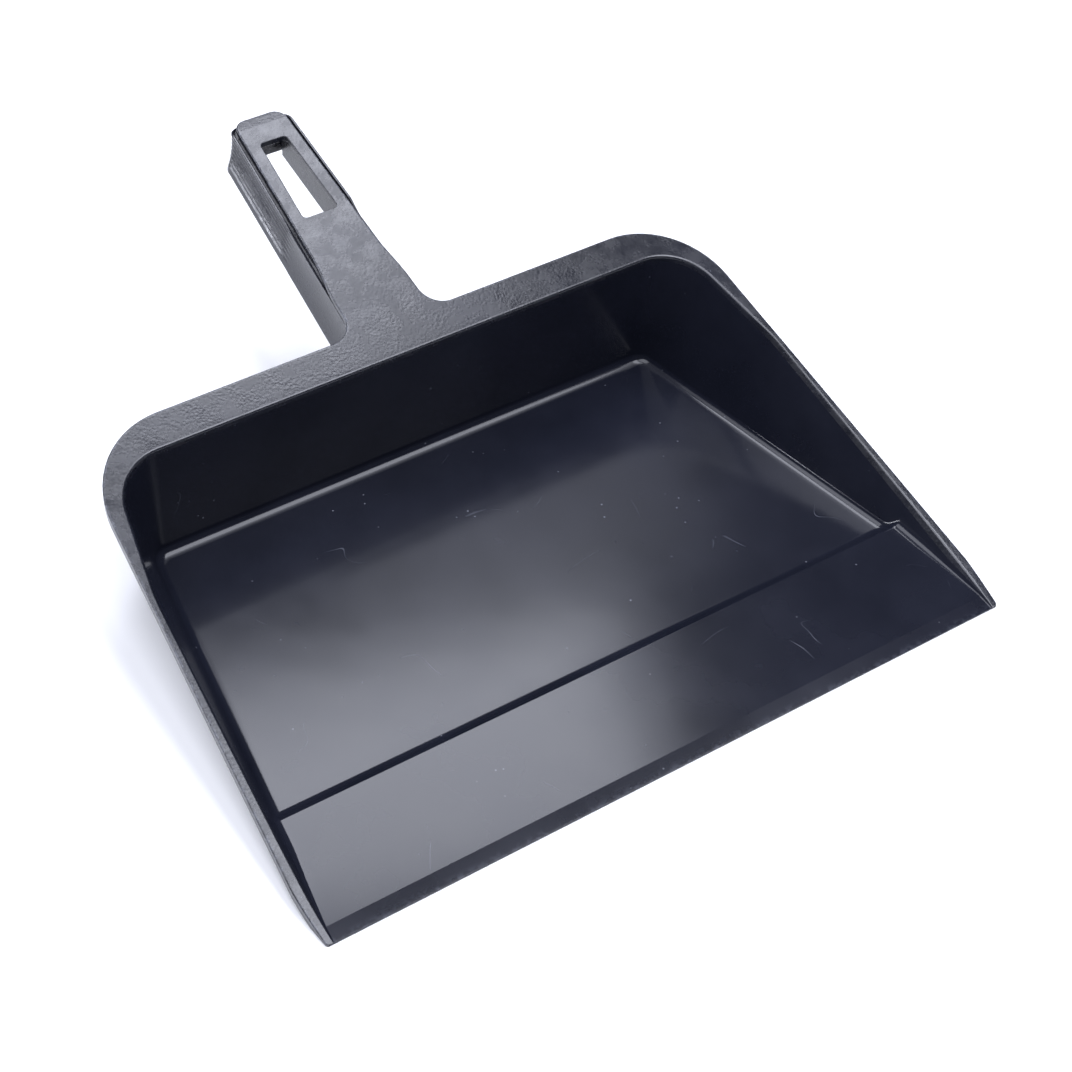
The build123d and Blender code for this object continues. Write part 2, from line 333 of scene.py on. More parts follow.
root_angle = math.radians(90) + math.atan(HANDLE_TAPER)
ROOT_X = HANDLE_ROOT_HALF + ROOT_RADIUS / math.tan(root_angle / 2)
foot_slant = math.atan(FOOT_TAPER)
foot_leg = FOOT_RADIUS * math.tan(math.radians(45) - foot_slant / 2)
FOOT_TANGENT_Y = FOOT_BACK_Y - foot_leg * math.cos(foot_slant)
bends = np.concatenate([floor_line[:, 0], under_line[:, 0], LIP_ROWS])
bends = bends[bends < STEP_FOOT_Y + 8]
plain = np.linspace(STEP_FOOT_Y + 10, FOOT_TANGENT_Y, FLOOR_ROWS)
side_y = np.unique(np.round(np.concatenate([bends, plain]), 3))
side_y = side_y[np.concatenate([[True], np.diff(side_y) > CLOSEST])]
print(len(side_y), "stations along each side")


# %% [markdown]
# Three outlines follow the stations: the foot of the walls, the mouth and the rim's outer
# edge. They differ only in their half width, in how far back they reach and in their corner
# radius, so one function draws them all.

# %% Outlines of the pan
def rim_half(y):
    """Half width of the rim's straight sides."""
    return RIM_BACK_HALF + RIM_TAPER * (PAN_DEPTH - y)


def foot_half(y):
    """Half width of the tray on the ground, inside its walls."""
    return FOOT_BACK_HALF + FOOT_TAPER * (FOOT_BACK_Y - y)


def mouth_half(y):
    """Half width of the mouth, at the level of the rim."""
    side = SIDE_RIM_FRONT + (SIDE_RIM_BACK - SIDE_RIM_FRONT) * y / FLANGE_START_Y
    widening = (FLANGE_SIDE - SIDE_RIM_BACK) / (MOUTH_Y - FLANGE_START_Y)
    return rim_half(y) - np.where(y < FLANGE_START_Y, side, SIDE_RIM_BACK + widening * (y - FLANGE_START_Y))


def pan_outline(half_width, back_y, radius, grow=0.0):
    """Right half of an outline of the pan in plan, from its half width at any y."""
    back_y = back_y + grow
    corner = np.array([half_width(back_y) + grow, back_y])
    slant = math.atan(half_width(back_y - 1.0) - half_width(back_y))
    leg = (radius + grow) * math.tan(math.radians(45) - slant / 2)
    start = corner + leg * np.array([math.sin(slant), -math.cos(slant)])
    end = corner - np.array([leg, 0])
    stretch = (start[1] - STRAIGHT_Y) / (FOOT_TANGENT_Y - STRAIGHT_Y)
    y = np.where(side_y < STRAIGHT_Y, side_y, STRAIGHT_Y + (side_y - STRAIGHT_Y) * stretch)
    side = np.column_stack([half_width(y) + grow, y])
    round_corner = rounded_line([start, corner, end], [radius + grow], CORNER_STEPS, reach=1.0)[1:-1]
    back = np.column_stack([np.linspace(end[0], ROOT_X, BACK_STEPS + 1), np.full(BACK_STEPS + 1, back_y)])
    root = np.column_stack([np.linspace(ROOT_X, 0, ROOT_STEPS + 1), np.full(ROOT_STEPS + 1, back_y)])
    return np.concatenate([side, round_corner[1:], back[1:], root[1:]])


side_count = len(side_y)
corner_end = side_count + CORNER_STEPS
rim_count = corner_end + BACK_STEPS
turn = np.concatenate([
    np.zeros(side_count),
    np.linspace(0, math.pi / 2, CORNER_STEPS + 1)[1:],
    np.full(BACK_STEPS + ROOT_STEPS, math.pi / 2),
])
inward = np.column_stack([-np.cos(turn), -np.sin(turn)])
print(len(inward), "stations on the right half,", rim_count, "of them on the rim")

# %% Outer edge of the rim
TURN_CURVE = 1.3           # above 1, the turn towards the lip starts gently
NOSE_SHARE = 0.6           # the nose is blunter than a full quarter round
outer_plan = pan_outline(rim_half, PAN_DEPTH, RIM_RADIUS)[:rim_count]
front_y = outer_plan[:, 1]
turn_in = (rim_half(0) - LIP_HALF) * np.clip(1 - front_y / RIM_TURN_Y, 0, 1) ** TURN_CURVE
nose = np.clip(LIP_CORNER - front_y, 0, LIP_CORNER)
nose_in = LIP_CORNER - np.sqrt(LIP_CORNER ** 2 - nose ** 2)
outer_plan[:, 0] -= turn_in + np.minimum(nose_in, LIP_CORNER * NOSE_SHARE)
outer_plan[:, 0] = np.minimum(outer_plan[:, 0], SIDE_HIGH[0])


def within_rim(points, margin):
    """Points of the side stations kept at least the margin inside the rim's outer edge."""
    kept = points.copy()
    kept[:side_count, 0] = np.minimum(kept[:side_count, 0], outer_plan[:side_count, 0] - margin)
    return kept


print("lip", round(2 * outer_plan[0, 0], 1), "mm wide, rim", round(2 * outer_plan[:, 0].max(), 1))

# %% [markdown]
# ## The tray
#
# The walls are straight rulings between a foot outline on the ground and a mouth outline just
# above the rim. That is how the mould is cut, and it makes the corner a clean cone. The skin
# runs from the floor through a fillet and up the inside, over the hidden top, down the outside
# and back under the floor.

# %% Walls as rulings
MOUTH_LIFT = 3.0           # the rulings end this far above the rim
WALL_LEAN = 0.4            # how far the mouth outline moves out for each millimetre of lift


def wall_face(grow):
    """Foot and mouth points of the inside wall face, or of the outside one when grown by the sheet."""
    foot = pan_outline(foot_half, FOOT_BACK_Y, FOOT_RADIUS, grow)
    mouth = pan_outline(mouth_half, MOUTH_Y, MOUTH_RADIUS, grow)
    mouth[:, 0] += MOUTH_LIFT * WALL_LEAN * mouth[:, 0] / mouth[0, 0]
    return with_height(foot, 0.0), with_height(mouth, rim_top(mouth[:, 1]) + MOUTH_LIFT)


def at_height(face, height):
    """Points of a wall face at a height above the ground."""
    foot, mouth = face
    share = (height / mouth[:, 2])[:, None]
    return foot + (mouth - foot) * share


def below_rim(face, depth):
    """Points of a wall face at a depth below the plane of the rim."""
    foot, mouth = face
    climb = mouth[:, 2] - SLOPE * (mouth[:, 1] - foot[:, 1])
    share = (rim_top(foot[:, 1]) - depth) / climb
    return foot + (mouth - foot) * share[:, None]


print("the walls lean out", round(MOUTH_LIFT * WALL_LEAN, 2), "mm more above the rim")

# %% Top and foot of the walls
inner_face = wall_face(0.0)
outer_face = wall_face(SHEET)
station_y = inner_face[0][:, 1]
wall_room = rim_top(station_y) - floor_z(station_y)
SHARE_OF_WALL = 0.45       # the rim's sheet thins out with the wall at the lip
INNER_MARGIN, OUTER_MARGIN = 0.6, 0.3   # the wall's two faces stay this far inside the rim's edge
seat_depth = np.minimum(SHEET, SHARE_OF_WALL * wall_room)
wall_top = within_rim(below_rim(inner_face, seat_depth), INNER_MARGIN)
outer_top = within_rim(below_rim(outer_face, seat_depth), OUTER_MARGIN)
wall_foot = at_height(inner_face, floor_z(station_y))
outer_foot = within_rim(at_height(outer_face, under_z(station_y)), OUTER_MARGIN)
print("back wall", round(float(wall_top[-1, 2] - wall_foot[-1, 2]), 1), "mm high inside")

# %% [markdown]
# Now the tray's section can be written down as seven corners: along the floor, up the wall,
# over its hidden top, down the outside and back under the floor. The first corner is a large
# fillet, because sweepings mustn't stick in it, and the light catches it as a thin line.

# %% Section of the tray
FLOOR_EDGE = 4.4           # the floor's flat sheet ends this far inside the wall's foot


def moved_in(points, grow, distance):
    """Points of a foot outline moved in by a distance, square to the outline."""
    outline = pan_outline(foot_half, FOOT_BACK_Y, FOOT_RADIUS, grow)
    inner_outline = pan_outline(foot_half, FOOT_BACK_Y, FOOT_RADIUS, grow - distance)
    return points + with_height(inner_outline - outline, 0.0)


floor_edge = moved_in(wall_foot, 0.0, FLOOR_EDGE)
under_edge = moved_in(outer_foot, SHEET, FLOOR_EDGE + SHEET)
wall_middle = (wall_foot + wall_top) / 2
fillet_radius = (SIDE_FILLET + (BACK_FILLET - SIDE_FILLET) * turn / (math.pi / 2))[:, None]
half_section = rounded(
    [floor_edge, wall_foot, wall_middle, wall_top, outer_top, outer_foot, under_edge],
    [fillet_radius, 1.0, 0.0, 0.0, 2.0],
    reach=0.9,
)
print("tray section", half_section.shape[1], "points at", half_section.shape[0], "stations")

# %% [markdown]
# The section is swept round the walls, and flat sheets close the floor above and below. The
# sweeping lip is the part that wears first: it scrapes over hard floors and turns pale, so
# its points carry the weight for wear.

# %% The tray's skin
LIP_WEAR = 2.5             # the lip is rubbed pale this far back from its edge


def lip_wear(points):
    """How worn each point is, from 1 at the lip down to 0."""
    return np.clip(1 - points[..., 1] / LIP_WEAR, 0, 1)


tray = Skin()
whole_section = both_sides(half_section)
tray.grid(whole_section, lip_wear(whole_section))


def sheet_rows(edge):
    """Rows across the pan between its two side edges, ending on the back edge."""
    shares = edge[corner_end - 1:, 0] / edge[corner_end - 1, 0]
    shares = np.concatenate([shares, -shares[::-1][1:]])
    rows = np.repeat(edge[:corner_end, None, :], len(shares), axis=1)
    rows[:, :, 0] *= shares
    return rows


upper_sheet, under_sheet = sheet_rows(floor_edge), sheet_rows(under_edge)
lip_front = np.stack([upper_sheet[0], under_sheet[0]])
for sheet in (upper_sheet, under_sheet, lip_front):
    tray.grid(sheet, lip_wear(sheet))
for side in SIDES:
    tray.fill(half_section[0] * side)
print(len(tray.points), "points in the tray, before welding")


# %% [markdown]
# ## Materials
#
# Both finishes are the same black polypropylene. Where the steel of the mould was polished,
# the plastic comes out semi-gloss. Where it was etched, the plastic takes a fine grain that
# scatters the light and looks grayer. A material could be put together by hand in the shader
# editor. Here one helper adds a node with its settings and links, so that a finish reads as
# a short list from the surface's own shape to the shader.

# %% Helpers for materials
def linear(hex_colour):
    """sRGB hex colour as linear RGBA."""
    parts = [int(hex_colour[i:i + 2], 16) / 255 for i in (1, 3, 5)]
    return [p / 12.92 if p <= 0.04045 else ((p + 0.055) / 1.055) ** 2.4 for p in parts] + [1.0]


def add(tree, kind, inputs=None, **settings):
    """Adds a node, gives it its settings, and fills each input with a value or a link."""
    node = tree.nodes.new("ShaderNode" + kind)
    for name, value in settings.items():
        setattr(node, name, value)
    for name, value in (inputs or {}).items():
        if isinstance(value, bpy.types.NodeSocket):
            tree.links.new(value, node.inputs[name])
        else:
            node.inputs[name].default_value = value
    return node


def new_material(name):
    """Empty node material, and the object's coordinates in metres."""
    material = bpy.data.materials.new(name)
    material.use_nodes = True
    tree = material.node_tree
    tree.nodes.clear()
    place = add(tree, "TexCoord").outputs["Object"]
    return material, tree, place


def per_size(millimetres):
    """Texture scale that makes a pattern repeat about once in this many millimetres."""
    return 1.0 / (millimetres * MM)


# The inputs of the Mix node for colours go by number: amount, first colour, second colour.
AMOUNT, FIRST, SECOND, MIXED = 0, 6, 7, 2
print("the plastic's black in linear light:", [round(v, 4) for v in linear("#14161f")[:3]])

# %% [markdown]
# ## Signs of use
#
# A used pan isn't one even black. Its tray has hairline scuffs from grit, pale specks of dust
# and small nicks, and its lip and the rim's edge are rubbed. Each sign is an amount from 0 to 1
# that a material lays over its own colour. A hairline is finer than a tenth of a millimetre,
# too fine to show, so it is drawn at about a third of one.


# %% Scuffs, specks and rubbed edges
def scuffs(tree, place):
    """Hairline scuffs: thin level lines of a slow noise, kept in a few patches only."""
    slow = add(tree, "TexNoise", {"Vector": place, "Scale": per_size(45), "Detail": 1.0, "Distortion": 0.6})
    off_line = add(tree, "Math", {0: slow.outputs["Fac"], 1: 0.5}, operation="SUBTRACT")
    width = add(tree, "Math", {0: off_line.outputs["Value"]}, operation="ABSOLUTE")
    line = add(tree, "MapRange", {"Value": width.outputs["Value"], "From Min": 0.001, "From Max": 0.003,
                                  "To Min": 1.0, "To Max": 0.0})
    patch = add(tree, "TexNoise", {"Vector": place, "Scale": per_size(22), "Detail": 2.0})
    kept = add(tree, "MapRange", {"Value": patch.outputs["Fac"], "From Min": 0.60, "From Max": 0.72,
                                  "To Max": 0.5})
    both = {0: line.outputs["Result"], 1: kept.outputs["Result"]}
    return add(tree, "Math", both, operation="MULTIPLY").outputs["Value"]


def specks(tree, place):
    """Pale specks of dust and small nicks, about half a millimetre across."""
    cells = add(tree, "TexVoronoi", {"Vector": place, "Scale": per_size(7)})
    dot = add(tree, "MapRange", {"Value": cells.outputs["Distance"], "From Min": 0.03, "From Max": 0.07,
                                 "To Min": 1.0, "To Max": 0.0})
    patch = add(tree, "TexNoise", {"Vector": place, "Scale": per_size(30), "Detail": 1.0})
    kept = add(tree, "MapRange", {"Value": patch.outputs["Fac"], "From Min": 0.52, "From Max": 0.64})
    both = {0: dot.outputs["Result"], 1: kept.outputs["Result"]}
    return add(tree, "Math", both, operation="MULTIPLY").outputs["Value"]


def rubbed_edges(tree, place):
    """The skin's wear along its edges, broken up by a fine noise."""
    wear = add(tree, "Attribute", attribute_name="wear").outputs["Fac"]
    noise = add(tree, "TexNoise", {"Vector": place, "Scale": per_size(2.5), "Detail": 3.0})
    broken = add(tree, "MapRange", {"Value": noise.outputs["Fac"], "From Min": 0.45, "From Max": 0.62,
                                    "To Max": 0.4})
    both = {0: wear, 1: broken.outputs["Result"]}
    return add(tree, "Math", both, operation="MULTIPLY").outputs["Value"]


def marked(tree, colour, marks):
    """Colour with signs of use laid over it, each an amount and the pale colour it turns to."""
    for amount, pale in marks:
        layers = {AMOUNT: amount, FIRST: colour, SECOND: linear(pale)}
        colour = add(tree, "Mix", layers, data_type="RGBA").outputs[MIXED]
    return colour


# %% [markdown]
# ## Smooth polypropylene
#
# Polypropylene is a slightly waxy plastic with an IOR of 1.49. From a polished mould it gives
# a soft mirror: the eye sees the shape of a light, but with blurred borders. The black has a
# little blue in it, and it isn't perfectly even, because the plastic cools at different rates.
# A scuff breaks the gloss as well as the colour, so the same amount drives both.


# %% Smooth polypropylene
def smooth_polypropylene():
    """Polished-mould polypropylene: blue-black, with a soft mirror of the lights and light scuffs."""
    material, tree, place = new_material("smooth_moulded_polypropylene")
    cloud = add(tree, "TexNoise", {"Vector": place, "Scale": per_size(60), "Detail": 4.0, "Roughness": 0.6})
    cloud = cloud.outputs["Fac"]
    tone = add(tree, "MapRange", {"Value": cloud, "From Min": 0.35, "From Max": 0.7}).outputs["Result"]
    blacks = {AMOUNT: tone, FIRST: linear("#14161f"), SECOND: linear("#1b1d27")}
    black = add(tree, "Mix", blacks, data_type="RGBA").outputs[MIXED]
    scuffed = scuffs(tree, place)
    colour = marked(tree, black, [
        (scuffed, "#5b5e68"),
        (specks(tree, place), "#6a6d76"),
        (rubbed_edges(tree, place), "#4c4f59"),
    ])
    sheen = add(tree, "MapRange", {"Value": cloud, "From Min": 0.3, "From Max": 0.7,
                                   "To Min": 0.13, "To Max": 0.17})
    dull = add(tree, "Math", {0: scuffed, 1: scuffed}, operation="MULTIPLY")
    rough = add(tree, "Math", {0: sheen.outputs["Result"], 1: dull.outputs["Value"]}, operation="MAXIMUM")
    waves = add(tree, "TexNoise", {"Vector": place, "Scale": per_size(35), "Detail": 1.0})
    soft_waves = add(tree, "Bump", {"Height": waves.outputs["Fac"], "Strength": 0.2, "Distance": 0.3 * MM})
    shader = add(tree, "BsdfPrincipled", {
        "Base Color": colour,
        "Roughness": rough.outputs["Value"],
        "IOR": 1.49,
        "Specular IOR Level": 0.4,
        "Normal": soft_waves.outputs["Normal"],
    })
    add(tree, "OutputMaterial", {"Surface": shader.outputs["BSDF"]})
    print(material.name, "has", len(tree.nodes), "nodes")
    return material


# %% [markdown]
# ## Grained polypropylene
#
# The rim and the handle come from etched steel, which leaves a pebble grain so that fingers
# don't slip. The eye sees a gray veil over the black, mottled where hands have polished the
# grain. The real pebbles are about half a millimetre, which is too fine to show, so they are
# drawn at 1.1 mm, with a height of a tenth of one.


# %% Grained polypropylene
def grained_polypropylene():
    """Etched-mould polypropylene: a pebble grain that breaks the light up."""
    material, tree, place = new_material("grained_moulded_polypropylene")
    cloud = add(tree, "TexNoise", {"Vector": place, "Scale": per_size(40), "Detail": 3.0}).outputs["Fac"]
    tone = add(tree, "MapRange", {"Value": cloud, "From Min": 0.35, "From Max": 0.7}).outputs["Result"]
    blacks = {AMOUNT: tone, FIRST: linear("#15171f"), SECOND: linear("#1d1f28")}
    black = add(tree, "Mix", blacks, data_type="RGBA").outputs[MIXED]
    colour = marked(tree, black, [
        (specks(tree, place), "#5a5d67"),
        (rubbed_edges(tree, place), "#5d606a"),
    ])
    pebbles = add(tree, "TexVoronoi", {"Vector": place, "Scale": per_size(1.1)}, feature="SMOOTH_F1")
    patches = add(tree, "TexNoise", {"Vector": place, "Scale": per_size(9), "Detail": 5.0, "Roughness": 0.65})
    sheen = add(tree, "MapRange", {"Value": patches.outputs["Fac"], "From Min": 0.35, "From Max": 0.65,
                                   "To Min": 0.20, "To Max": 0.32})
    height = pebbles.outputs["Distance"]
    grain = add(tree, "Bump", {"Height": height, "Strength": 0.35, "Distance": 0.12 * MM})
    shader = add(tree, "BsdfPrincipled", {
        "Base Color": colour,
        "Roughness": sheen.outputs["Result"],
        "IOR": 1.49,
        "Specular IOR Level": 0.7,
        "Normal": grain.outputs["Normal"],
    })
    add(tree, "OutputMaterial", {"Surface": shader.outputs["BSDF"]})
    print(material.name, "has", len(tree.nodes), "nodes")
    return material


SMOOTH = smooth_polypropylene()
GRAINED = grained_polypropylene()

# %% [markdown]
# With both finishes ready, the tray becomes a piece. It stands for all the solids of the tray
# in the frame, which are hidden and stay for collision.

# %% Build the tray
both = ("left_", "right_")
tray_nodes = ["floor_panel", "ridge_step", "ramp_panel", "sweeping_lip", "back_wall"]
tray_nodes += [side + part for side in both for part in ("side_wall", "corner_wall", "ramp_cheek")]
tray.build("tray", SMOOTH, "root", tray_nodes)

# %% [markdown]
# ## Rim and handle plate
#
# The rim is a flat sheet round the mouth, with its outer edge turned down to stiffen it. At
# the back it runs on into the handle's plate without a seam, so both are one skin: an inner
# edge that rolls over into the tray, an outer edge with its fold, a slot, and flat sheets
# between them.

# %% Outline of the handle
END_RADIUS = 5.5
END_STEPS = 8
DIP_Y = HANDLE_END - END_RADIUS - 0.3   # from here the plate's far end turns down a little
DIP = 0.8
ROOT_LENGTH = 12.0         # the handle's straight sides start this far behind the pan
GRIP_Y = 266.0             # the grip's raised sides start here
GRIP_BLEND = 5.0
GROOVE_START = 226.0       # a groove parts the plate from the skirts from here on
GROOVE_FULL = 250.0
PLATE_INSET = 1.8          # how much narrower the plate is beside the groove


def smooth_step(value, low, high):
    """0 below low, 1 above high, with an even change between."""
    share = np.clip((value - low) / (high - low), 0, 1)
    return share * share * (3 - 2 * share)


def handle_half(y):
    """Half width of the handle's plate and pads at its top."""
    return HANDLE_ROOT_HALF - HANDLE_TAPER * (y - PAN_DEPTH)


def dip(y):
    """How far the plate's far end lies below the plane of the rim."""
    return DIP * np.clip((y - DIP_Y) / (HANDLE_END - DIP_Y), 0, None)


def plate_top(y):
    """Height of the plate's upper side."""
    return rim_top(y) - dip(y)


print("handle", round(2 * handle_half(PAN_DEPTH), 1), "to", round(2 * handle_half(HANDLE_END), 1), "mm wide")

# %% Points along the handle's edge
handle_y = np.concatenate([
    np.linspace(PAN_DEPTH + ROOT_LENGTH, GRIP_Y - GRIP_BLEND, 8),
    np.linspace(GRIP_Y - GRIP_BLEND, GRIP_Y + GRIP_BLEND, 9)[1:],
    np.linspace(GRIP_Y + GRIP_BLEND, DIP_Y, 8)[1:],
])
plate_inset = PLATE_INSET * smooth_step(handle_y, GROOVE_START, GROOVE_FULL)
root_end_y = PAN_DEPTH + ROOT_LENGTH
root_arc = rounded_line(
    [(ROOT_X + 1, PAN_DEPTH), (HANDLE_ROOT_HALF, PAN_DEPTH), (handle_half(root_end_y), root_end_y)],
    [ROOT_RADIUS], CORNER_STEPS, reach=1.0,
)[1:-1]
handle_side = np.column_stack([handle_half(handle_y) - plate_inset, handle_y])
end_half = handle_half(HANDLE_END) - PLATE_INSET
end_corners = [handle_side[-1], (end_half, HANDLE_END), (0, HANDLE_END)]
end_arc = rounded_line(end_corners, [END_RADIUS], END_STEPS, reach=1.0)[1:]
print(len(root_arc), "points at the root,", len(handle_side), "along the side,", len(end_arc), "at the end")

# %% [markdown]
# The rim, the round root and the handle share one outer edge without a break. At each of its
# stations the direction that points into the plastic turns with the outline.

# %% Outer edge of rim and handle in one line
edge_plan = np.concatenate([outer_plan, root_arc[1:], handle_side, end_arc])
root_count = len(root_arc) - 1
edge_turn = np.concatenate([
    turn[:rim_count],
    np.linspace(math.pi / 2, 0, root_count),
    np.zeros(len(handle_side)),
    np.linspace(0, math.pi / 2, END_STEPS + 1),
    [math.pi / 2],
])
edge_inward = np.column_stack([-np.cos(edge_turn), -np.sin(edge_turn)])
print(len(edge_plan), "stations on the outer edge's right half")

# %% [markdown]
# Two sections are swept along the rim: the outer edge with its fold, and the inner edge that
# rolls over into the tray. Both shrink with the rim where it narrows to nothing at the lip, so
# every width in them is the smaller of its own size and a share of the room there is.

# %% Edge sections of the rim
SUPPORT = 1.3              # a narrow flat strip beside each rounding keeps its shading true
INNER_SUPPORT = 3.4
INNER_ROUND = 1.4
EDGE_ROUND = 0.9
PLENTY = 20.0              # room for the section along the handle, where it never shrinks
GROUND_GAP = 0.15          # the fold ends this far above the ground
MOUTH_MARGIN = 0.5         # the mouth's edge stays this far inside the rim's outer edge

inner_edge = within_rim(below_rim(inner_face, np.zeros(len(inward))), MOUTH_MARGIN)
rim_width = np.linalg.norm(inner_edge[:rim_count, :2] - outer_plan, axis=1)
room = np.concatenate([rim_width, np.full(len(edge_plan) - rim_count, PLENTY)])
plate_weight = np.concatenate([
    np.zeros(rim_count),
    smooth_step(np.arange(root_count), 0, root_count - 1),
    np.ones(len(edge_plan) - rim_count - root_count),
])
sheet_depth = np.concatenate([seat_depth[:rim_count], np.full(len(edge_plan) - rim_count, SHEET)])


def on_edge(inset, depth):
    """Points of the outer edge, moved in by inset and down by depth."""
    plan = edge_plan + edge_inward * np.broadcast_to(inset, len(edge_plan))[:, None]
    return with_height(plan, plate_top(plan[:, 1]) - depth)


fold_drop = np.minimum(FOLD_DROP, rim_top(edge_plan[:, 1]) - GROUND_GAP)
fold_drop = fold_drop + (SHEET + 0.02 - fold_drop) * plate_weight
fold_sheet = np.minimum(FOLD, SHARE_OF_WALL * room)
edge_support = np.minimum(SUPPORT, 0.35 * room)
under_support = np.minimum(FOLD + SUPPORT, 0.75 * room)
edge_top = on_edge(edge_support, 0.0)
edge_under = on_edge(under_support, sheet_depth)
edge_section = rounded(
    [edge_top, on_edge(0.0, 0.0), on_edge(0.0, fold_drop), on_edge(fold_sheet, fold_drop),
     on_edge(fold_sheet, sheet_depth), edge_under],
    [EDGE_ROUND, 0.6, 0.5, 0.5],
)
inner_width = np.concatenate([rim_width, np.full(len(inward) - rim_count, PLENTY)])
inner_support = np.minimum(INNER_SUPPORT, SHARE_OF_WALL * inner_width)
outward = np.column_stack([-inward, SLOPE * -inward[:, 1]])
inner_top = inner_edge + outward * inner_support[:, None]
inner_section = rounded([inner_top, inner_edge, wall_top], [INNER_ROUND])
print("rim", round(float(rim_width.min()), 2), "to", round(float(rim_width.max()), 2), "mm wide")

# %% [markdown]
# ## Slot
#
# The pan hangs from a hook by a slot that narrows a little towards the far end. It is a hole in
# both flat sheets, and a short wall with rounded edges joins them.

# %% Outline of the slot
SLOT_LOW, SLOT_HIGH = PAN_DEPTH + 57.0, PAN_DEPTH + 96.5
SLOT_NEAR_HALF, SLOT_FAR_HALF, SLOT_RADIUS = 8.2, 6.1, 1.8
SLOT_STRIP = 0.9           # a narrow flat strip round the slot keeps its shading true


def slot_loop(outset, depth):
    """Closed outline of the slot, grown by outset, at a depth below the plate's top."""
    near, far = SLOT_NEAR_HALF + outset, SLOT_FAR_HALF + outset
    low, high = SLOT_LOW - outset, SLOT_HIGH + outset
    outline = [(0, low), (near, low), (far, high), (-far, high), (-near, low), (0, low)]
    plan = rounded_line(outline, [SLOT_RADIUS + outset] * 4)
    return with_height(plan, rim_top(plan[:, 1]) - depth)


slot_rows = [
    slot_loop(SLOT_STRIP, 0.0),
    slot_loop(0.0, 0.0),
    slot_loop(0.0, SHEET),
    slot_loop(SLOT_STRIP, SHEET),
]
slot_section = rounded(slot_rows, [0.5, 0.4])
print("slot", round(SLOT_HIGH - SLOT_LOW, 1), "mm long")

# %% [markdown]
# The skin is put together from the two swept edges, the slot's wall, narrow strips between
# the edges along the rim, and the two flat sheets of the handle with the slot cut out.

# %% The rim's skin
rim = Skin()
edge_wear = np.zeros(edge_section.shape[1])
edge_wear[1:ARC_STEPS + 2] = 1.0       # the rounding of the outer edge, just after the flat strip
rim.grid(both_sides(edge_section), edge_wear)
rim.grid(both_sides(inner_section))
rim.grid(slot_section)
for inner_row, outer_row in ((inner_top, edge_top), (wall_top, edge_under)):
    strip = np.stack([inner_row[:rim_count], outer_row[:rim_count]], axis=1)
    for side in SIDES:
        rim.grid(strip * side)
rim_end = np.concatenate([inner_section[0], edge_section[0][::-1]])
for side in SIDES:
    rim.fill(rim_end * side)

dip_start = rim_count + root_count + len(handle_side) - 1
for inner_row, outer_row, slot_row in (
    (inner_top, edge_top, slot_section[:-1, 0]),
    (wall_top, edge_under, slot_section[:-1, -1]),
):
    root_row = inner_row[rim_count - 1:]
    side_row = outer_row[rim_count - 1:dip_start + 1]
    loop = np.concatenate([side_row, side_row[::-1] * MIRROR, root_row[:-1] * MIRROR, root_row[::-1]])
    rim.fill(loop, slot_row)
    end_row = outer_row[dip_start:]
    rim.fill(np.concatenate([end_row, end_row[::-1][1:] * MIRROR]))

rim_nodes = ["back_flange", "handle_plate"]
rim_nodes += [side + part for side in both for part in ("corner_flange", "side_rim")]
rim.build("rim_and_handle_plate", GRAINED, "root", rim_nodes)

# %% [markdown]
# ## Handle channel
#
# Below the plate, two skirts and an end wall make the handle a stiff channel that fingers can
# close round. Beside the slot the skirts bulge into ribbed grip pads, parted from the plate by
# a narrow groove. One closed section, changed from station to station, makes all of it.

# %% Outline of the channel
SKIRT_DROP = 20.0
SKIRT_FLARE = 3.6          # how far the skirts' feet stand out
SKIRT_SHEET = 2.4
GRIP_SHEET = 4.6           # thickness of the grip's walls at the plate
PAD_OUT = 0.7              # how far the pads' tops stand out beyond the plain handle
PAD_TOP = 1.5              # and their depth below the plate
GROOVE_DEPTH = 4.2
CHANNEL_START = 196.0
channel_y = np.concatenate([[CHANNEL_START, PAN_DEPTH], handle_y])
channel_side = np.column_stack([handle_half(channel_y), channel_y])
side_stations, end_stations = len(channel_side), END_STEPS + 2
channel_turn = np.concatenate([
    np.zeros(side_stations),
    np.linspace(0, math.pi / 2, END_STEPS + 1),
    [math.pi / 2],
])
channel_inward = np.column_stack([-np.cos(channel_turn), -np.sin(channel_turn)])


def channel_path(outset):
    """Right half of the channel's outline, moved out by outset on its sides only."""
    outset = np.broadcast_to(outset, side_stations)
    side = channel_side + (1, 0) * outset[:, None]
    half = handle_half(HANDLE_END) + outset[-1]
    end = [side[-1], (half, HANDLE_END), (0, HANDLE_END)]
    return np.concatenate([side, rounded_line(end, [END_RADIUS], END_STEPS, reach=1.0)[1:]])


def channel_row(outset, depth, inset=0.0):
    """One corner of the section at every station: out on the sides, then in along the normal."""
    plan = channel_path(outset)
    plan = plan + channel_inward * np.broadcast_to(inset, len(plan))[:, None]
    return with_height(plan, plate_top(plan[:, 1]) - depth)


print(side_stations + end_stations, "stations on the channel's right half")

# %% [markdown]
# Four weights say what the section is at each station: how much of it is grip, where the
# groove is, how thick the walls are, and where the plain end wall takes over. They run from 0
# to 1 over a few millimetres, so nothing starts with a step.

